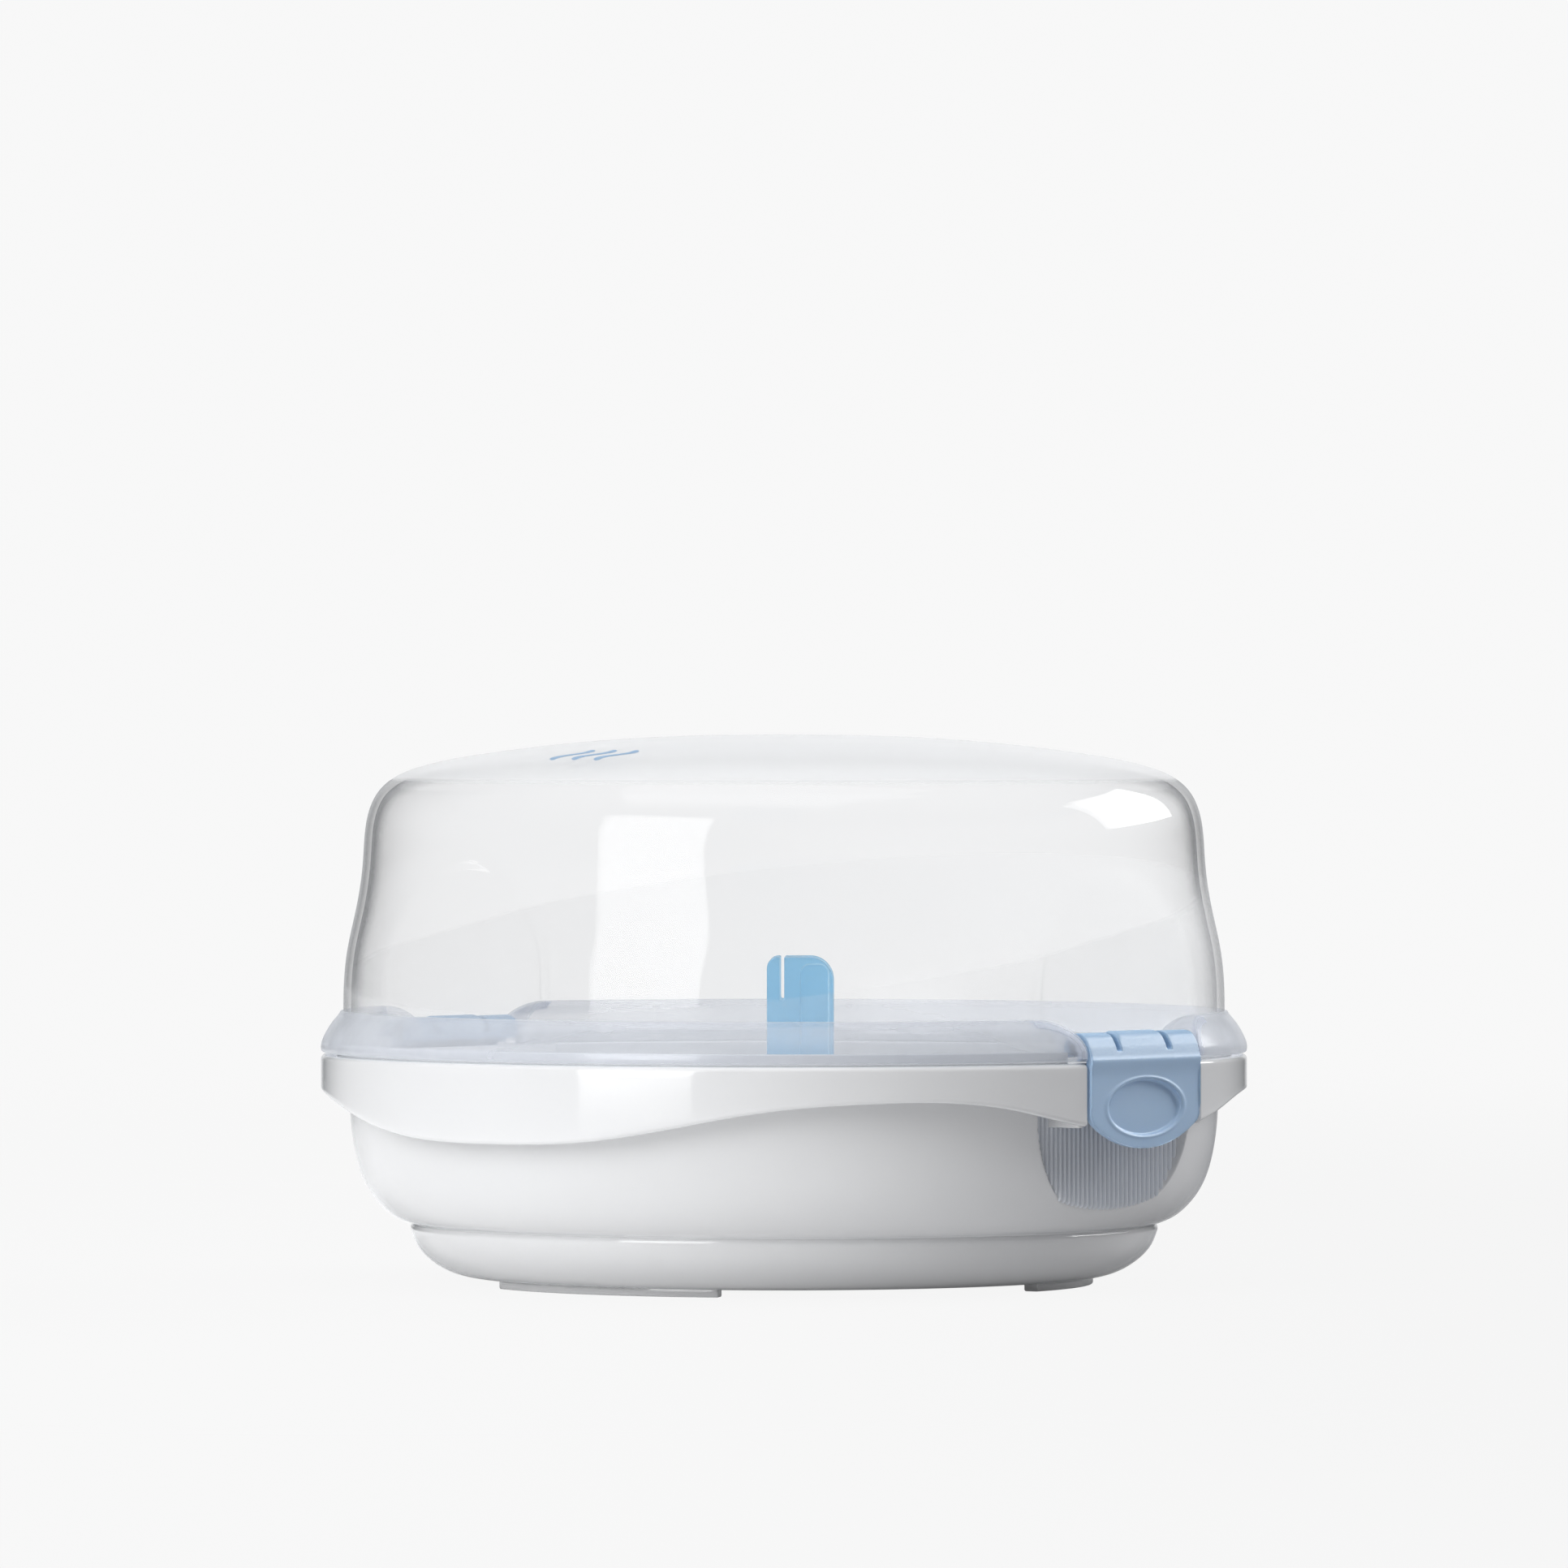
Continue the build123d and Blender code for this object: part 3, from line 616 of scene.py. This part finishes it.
def collar_section(angle):
    """The collar at an angle from +X, lower and deeper rooted the closer it is to a clip."""
    along = min(angle, math.pi - angle)
    t = np.clip((RIM * math.sin(along) - GAP) / END_LONG, 0, 1)
    top = END_LOW + (COLLAR_TOP - END_LOW) * math.sqrt(1 - (1 - t)**2)
    under = top - COLLAR_WALL + 0.4
    zs = np.linspace(top - EDGE, COLLAR_FOOT + EDGE, 22)
    face = np.stack([cubic(collar_z, collar_r, zs), zs], axis=1)
    back = face[::-1][::2] - (COLLAR_WALL, 0.0)
    back = back[back[:, 1] < under]
    if len(back) < 3:
        back = np.linspace(back[0], (back[0][0], under + 0.2), 3)
    back = resampled(back, 9)
    r = face[0][0]
    root = COLLAR_ROOT - 7.0 * (1 - t)
    return path(
        run((root, top), (r - 0.9, top), 3), arc((r - EDGE, top - EDGE), EDGE, 80, 10, 4), face[1:-1],
        arc((RIM - EDGE - 0.05, COLLAR_FOOT + EDGE), EDGE, 0, -90, 4),
        [(RIM - COLLAR_WALL + 0.3, COLLAR_FOOT)], back, run((back[-1][0] - 0.3, under), (root, under), 3))


ends = gap_angle + 0.001 + 0.115 * (1 - np.cos(np.linspace(0, math.pi / 2, 26)))
between = np.linspace(gap_angle + 0.125, math.pi - gap_angle - 0.125, 170)
collar_angles = np.concatenate([ends, between, math.pi - ends[::-1]])
sections = [collar_section(a) for a in collar_angles]
count = min(len(s) for s in sections)
collars = []
for side in (-1, 1):
    points = np.stack([turned(resampled(s, count), [side * a])[0] for s, a in zip(sections, collar_angles)])
    collars.append(bevel(make("collar_end", *grid(points, wrap_v=True, caps=True)), 0.45, 3, 55))
finish_piece(join("collar", collars), "lid", collar_look, "lid_clear", "lid")

# The thicker edge of each collar end, which follows its rounded corner.
edges = []
turn_round = np.radians(np.linspace(0, 90, 30))
for sx in (-1, 1):
    for sy in (-1, 1):
        rows = []
        for w, out in ((0.0, -0.35), (0.3, 0.08), (1.9, 0.08), (2.2, -0.35)):
            along = END_LONG - (END_LONG - w) * np.cos(turn_round)
            up = END_LOW + (COLLAR_TOP - END_LOW - 0.4 - w) * np.sin(turn_round)
            along = np.concatenate([[w, w], along])
            up = np.concatenate([[COLLAR_FOOT + 0.8, COLLAR_FOOT + 2.4], up])
            reach = cubic(collar_z, collar_r, up) + out
            y = GAP + 0.3 + along
            x = np.sqrt(np.maximum(reach**2 - y**2, 1))
            rows.append(np.stack([sx * x, sy * y, up], axis=1))
        under = [r - np.array([sx, 0, 0]) * 1.2 for r in rows[::-1]]
        edges.append(make("edge", *grid(np.stack(rows + under, axis=1), wrap_v=True, caps=True)))
finish_piece(join("collar_end_edges", edges), "lid", edge_look, "lid_clear", "lid")

# The bars that the clips turn on.
BAR = 2.2                               # radius of a bar
bars = []
ring = arc((PIVOT[0], PIVOT[2]), BAR, 0, 360, 33)[:-1]
for sx in (-1, 1):
    points = np.array([[(sx * x, y, z) for x, z in ring] for y in np.linspace(-GAP - 1.0, GAP + 1.0, 15)])
    bars.append(make("bar", *grid(points, wrap_v=True, caps=True)))
finish_piece(join("hinge_bars", bars), "lid", lid_look, "lid_clear", "lid")

# ---- clips, tongs and rack ----------------------------------------------------------------------
CLIP_LOW, CLIP_BEND = 40.0, 77.0        # the outer face: its lowest point and the bend over the collar
FACE_UP = [CLIP_LOW, 50.0, 61.0, 64.0, 66.5, 68.8, 71.0, 73.0, 75.0, CLIP_BEND]
FACE_OUT = [137.3, 137.6, 137.7, 137.65, 137.75, 138.05, 138.0, 137.45, 136.6, 135.5]
CAD_UP = [CLIP_LOW, 52.0, 64.0, 71.6, CLIP_BEND]
CAD_OUT = [137.9, 138.15, 138.4, 137.6, 135.6]
THUMB_UP, THUMB_HALF, THUMB_TALL = 56.2, 17.6, 8.3      # the oval dish: centre and half sizes
TOOTH_HALF = 10.4                       # half width of the raised middle between the two slots


def clip_face(at, face):
    """A bulge under the bend, a soft crease, and a thumb dish with a raised rim."""
    sign, x, y, z = np.sign(at[:, 0]), np.abs(at[:, 0]), at[:, 1], at[:, 2]
    on_face = x > np.interp(z, CAD_UP, CAD_OUT) - 1.7
    out = np.clip((sign * face[:, 0] - 0.15) / 0.5, 0, 1) * on_face
    up = np.clip(z, CLIP_LOW, CLIP_BEND)
    fade = np.clip((CLIP_BEND - z) / 2.5, 0, 1)
    bulge = (cubic(FACE_UP, FACE_OUT, up) - cubic(CAD_UP, CAD_OUT, up)) * fade
    q = np.sqrt((y / THUMB_HALF)**2 + ((z - THUMB_UP) / THUMB_TALL)**2)
    step = np.clip((q - 0.93) / 0.07, 0, 1)
    dish = 0.45 * (1 - step * step * (3 - 2 * step)) * (q < 1.01)
    dish_rim = 0.26 * np.exp(-((q - 1.07) / 0.05)**2)
    middle = np.clip((TOOTH_HALF - np.abs(y)) / 0.8, 0, 1)
    lift = 0.35 * middle * np.clip((z - 75.0) / 1.5, 0, 1) * np.clip(face[:, 2], 0, 1)
    return np.stack([sign * (x + out * (bulge + dish_rim - dish)), y, z + lift], axis=1)


for word in ("right", "left"):
    clip = moulded("clip_" + word + "_moulding", "clip_" + word, 0.24, 6, 0.25, clip_face)
    finish_piece(clip, "clip_" + word, clip_look, "clip_blue", "clip_" + word)
for word in ("front", "rear"):
    arm = moulded("tongs_" + word + "_moulding", "tongs_" + word + "_arm", 0.2, 5, 0.25)
    finish_piece(arm, "tongs_" + word, tongs_look, "tongs_blue", "tongs_" + word + "_arm")

rack = frame["nodes"]["rack"]
rack.data.materials.clear()
rack.data.materials.append(rack_look)
rack.modifiers.new("weld", "WELD").merge_threshold = 1e-6
soft = rack.modifiers.new("edges", "BEVEL")
soft.width, soft.segments, soft.limit_method, soft.angle_limit = 0.35 * MM, 2, "ANGLE", math.radians(50)
soft.harden_normals = True

# ---- studio -------------------------------------------------------------------------------------
PALE = 0.937
CAMERA_TURN = 39.0


def from_front(turn, lift=0.0):
    """The direction that lies turn degrees round from -Y towards +X and lift degrees up."""
    a, e = math.radians(turn), math.radians(lift)
    return Vector((math.sin(a) * math.cos(e), -math.cos(a) * math.cos(e), math.sin(e)))


def studio_world():
    """White to the eye, and for light a tent that is bright above, on the left and straight behind."""
    world = bpy.data.worlds.new("studio")
    bpy.context.scene.world = world
    world.use_nodes = True
    nodes, links = world.node_tree.nodes, world.node_tree.links
    nodes.clear()
    direction = nodes.new("ShaderNodeTexCoord").outputs["Generated"]

    def lobe(towards, low, high, strength):
        dot, span = nodes.new("ShaderNodeVectorMath"), nodes.new("ShaderNodeMapRange")
        dot.operation, span.interpolation_type = "DOT_PRODUCT", "SMOOTHSTEP"
        links.new(direction, dot.inputs[0])
        dot.inputs[1].default_value = towards
        links.new(dot.outputs["Value"], span.inputs["Value"])
        for socket, value in zip(("From Min", "From Max", "To Min", "To Max"), (low, high, 0.0, strength)):
            span.inputs[socket].default_value = value
        return span.outputs[0]

    behind, left = from_front(CAMERA_TURN + 180, 4), from_front(CAMERA_TURN - 80, 10)
    above = Vector((0, 0, 1))
    total = nodes.new("ShaderNodeValue").outputs[0]
    total.default_value = 0.06
    for part in (lobe(behind, 0.955, 0.990, 0.70), lobe(above, 0.45, 0.95, 0.70), lobe(left, 0.0, 0.9, 0.16)):
        add = nodes.new("ShaderNodeMath")
        add.operation = "ADD"
        links.new(part, add.inputs[0])
        links.new(total, add.inputs[1])
        total = add.outputs[0]
    out = nodes.new("ShaderNodeOutputWorld")
    back, tent = nodes.new("ShaderNodeBackground"), nodes.new("ShaderNodeBackground")
    back.inputs["Color"].default_value = (PALE, PALE, PALE, 1)
    tent.inputs["Color"].default_value = (0.98, 0.99, 1.0, 1)
    links.new(total, tent.inputs["Strength"])
    ray = nodes.new("ShaderNodeLightPath")
    seen = nodes.new("ShaderNodeMath")
    seen.operation = "MAXIMUM"
    links.new(ray.outputs["Is Camera Ray"], seen.inputs[0])
    links.new(ray.outputs["Is Transmission Ray"], seen.inputs[1])
    mix = nodes.new("ShaderNodeMixShader")
    links.new(seen.outputs[0], mix.inputs[0])
    links.new(tent.outputs[0], mix.inputs[1])
    links.new(back.outputs[0], mix.inputs[2])
    links.new(mix.outputs[0], out.inputs["Surface"])


def place(name, data, at, aim):
    """A light or camera at one point of space, looking at another."""
    ob = bpy.data.objects.new(name, data)
    ob.location = at
    ob.rotation_mode = "QUATERNION"
    ob.rotation_quaternion = (aim - ob.location).to_track_quat("-Z", "Y")
    bpy.context.scene.collection.objects.link(ob)
    return ob


MIDDLE = Vector((0, 0, 0.09))           # the middle of the object


def softbox(name, turn, lift, away, wide, tall, radiance, diffuse=True, glossy=True):
    """An area light at turn degrees round from -Y, lift degrees up, looking at the object."""
    data = bpy.data.lights.new(name, "AREA")
    data.shape, data.size, data.size_y = "RECTANGLE", wide, tall
    data.energy = radiance * math.pi * wide * tall
    ob = place(name, data, from_front(turn, lift) * away + MIDDLE, MIDDLE)
    ob.visible_camera, ob.visible_diffuse, ob.visible_glossy = False, diffuse, glossy


studio_world()
softbox("key", CAMERA_TURN - 43, 22, 2.2, 1.2, 1.2, 4.3, glossy=False)
softbox("strip", CAMERA_TURN - 36, 14, 2.2, 1.15, 1.3, 6.0, diffuse=False)
softbox("overhead", CAMERA_TURN - 20, 75, 1.6, 1.4, 1.4, 1.9)
softbox("rim", CAMERA_TURN + 118, 24, 2.4, 1.5, 1.1, 7.5)


def floor_look():
    """The background's tone to the eye; for light, a sheet that is pale on the left and dark on the right."""
    k = Look("pale_floor")
    glow = k.node("ShaderNodeEmission")
    k.put(glow.inputs["Color"], (1.0, 1.0, 1.0, 1))
    k.put(glow.inputs["Strength"], 0.930)
    across = k.node("ShaderNodeVectorMath", operation="DOT_PRODUCT")
    k.put(across.inputs[0], k.coord)
    k.put(across.inputs[1], from_front(CAMERA_TURN + 90))
    right = across.outputs["Value"]
    shade = k.blend(k.span(right, -0.15, 0.25, 0.0, 1.0), (0.88, 0.88, 0.88, 1), (0.24, 0.24, 0.25, 1))
    matte = k.plastic(Base_Color=shade, Roughness=0.9, Emission_Color=(1, 1, 1, 1),
                      Emission_Strength=k.span(right, -0.05, 0.25, 0.12, 0.0))
    gone = k.node("ShaderNodeBsdfTransparent")
    away = k.node("ShaderNodeVectorMath", operation="LENGTH")
    k.put(away.inputs[0], k.coord)
    ray = k.node("ShaderNodeLightPath")
    eye = k.math("MAXIMUM", ray.outputs["Is Camera Ray"], ray.outputs["Is Transmission Ray"])
    sheet = k.mix(k.math("MULTIPLY", eye, 0.97), matte, glow.outputs[0])
    return k.done(k.mix(k.span(away.outputs["Value"], 0.5, 2.2, 0.0, 1.0), sheet, gone.outputs[0]))


floor_rings = np.array([(r, 0.0) for r in (1, 250, 500, 900, 1500, 2400)])
floor = make("floor", *grid(turned(floor_rings, np.linspace(0, 2 * math.pi, 97)[:-1]), wrap_u=True))
floor.data.materials.append(floor_look())

CAMERA_AWAY, CAMERA_UP, CAMERA_AIM = 3.9, 0.186, 0.151
camera = place("camera", bpy.data.cameras.new("camera"),
               from_front(CAMERA_TURN) * CAMERA_AWAY + Vector((0, 0, CAMERA_UP)), Vector((0, 0, CAMERA_AIM)))
camera.data.sensor_width, camera.data.lens = 36.0, 296.0
camera.data.clip_start, camera.data.clip_end = 0.1, 50
bpy.context.scene.camera = camera
bpy.context.scene.view_settings.view_transform = "Standard"
bpy.context.scene.cycles.transparent_max_bounces = 24
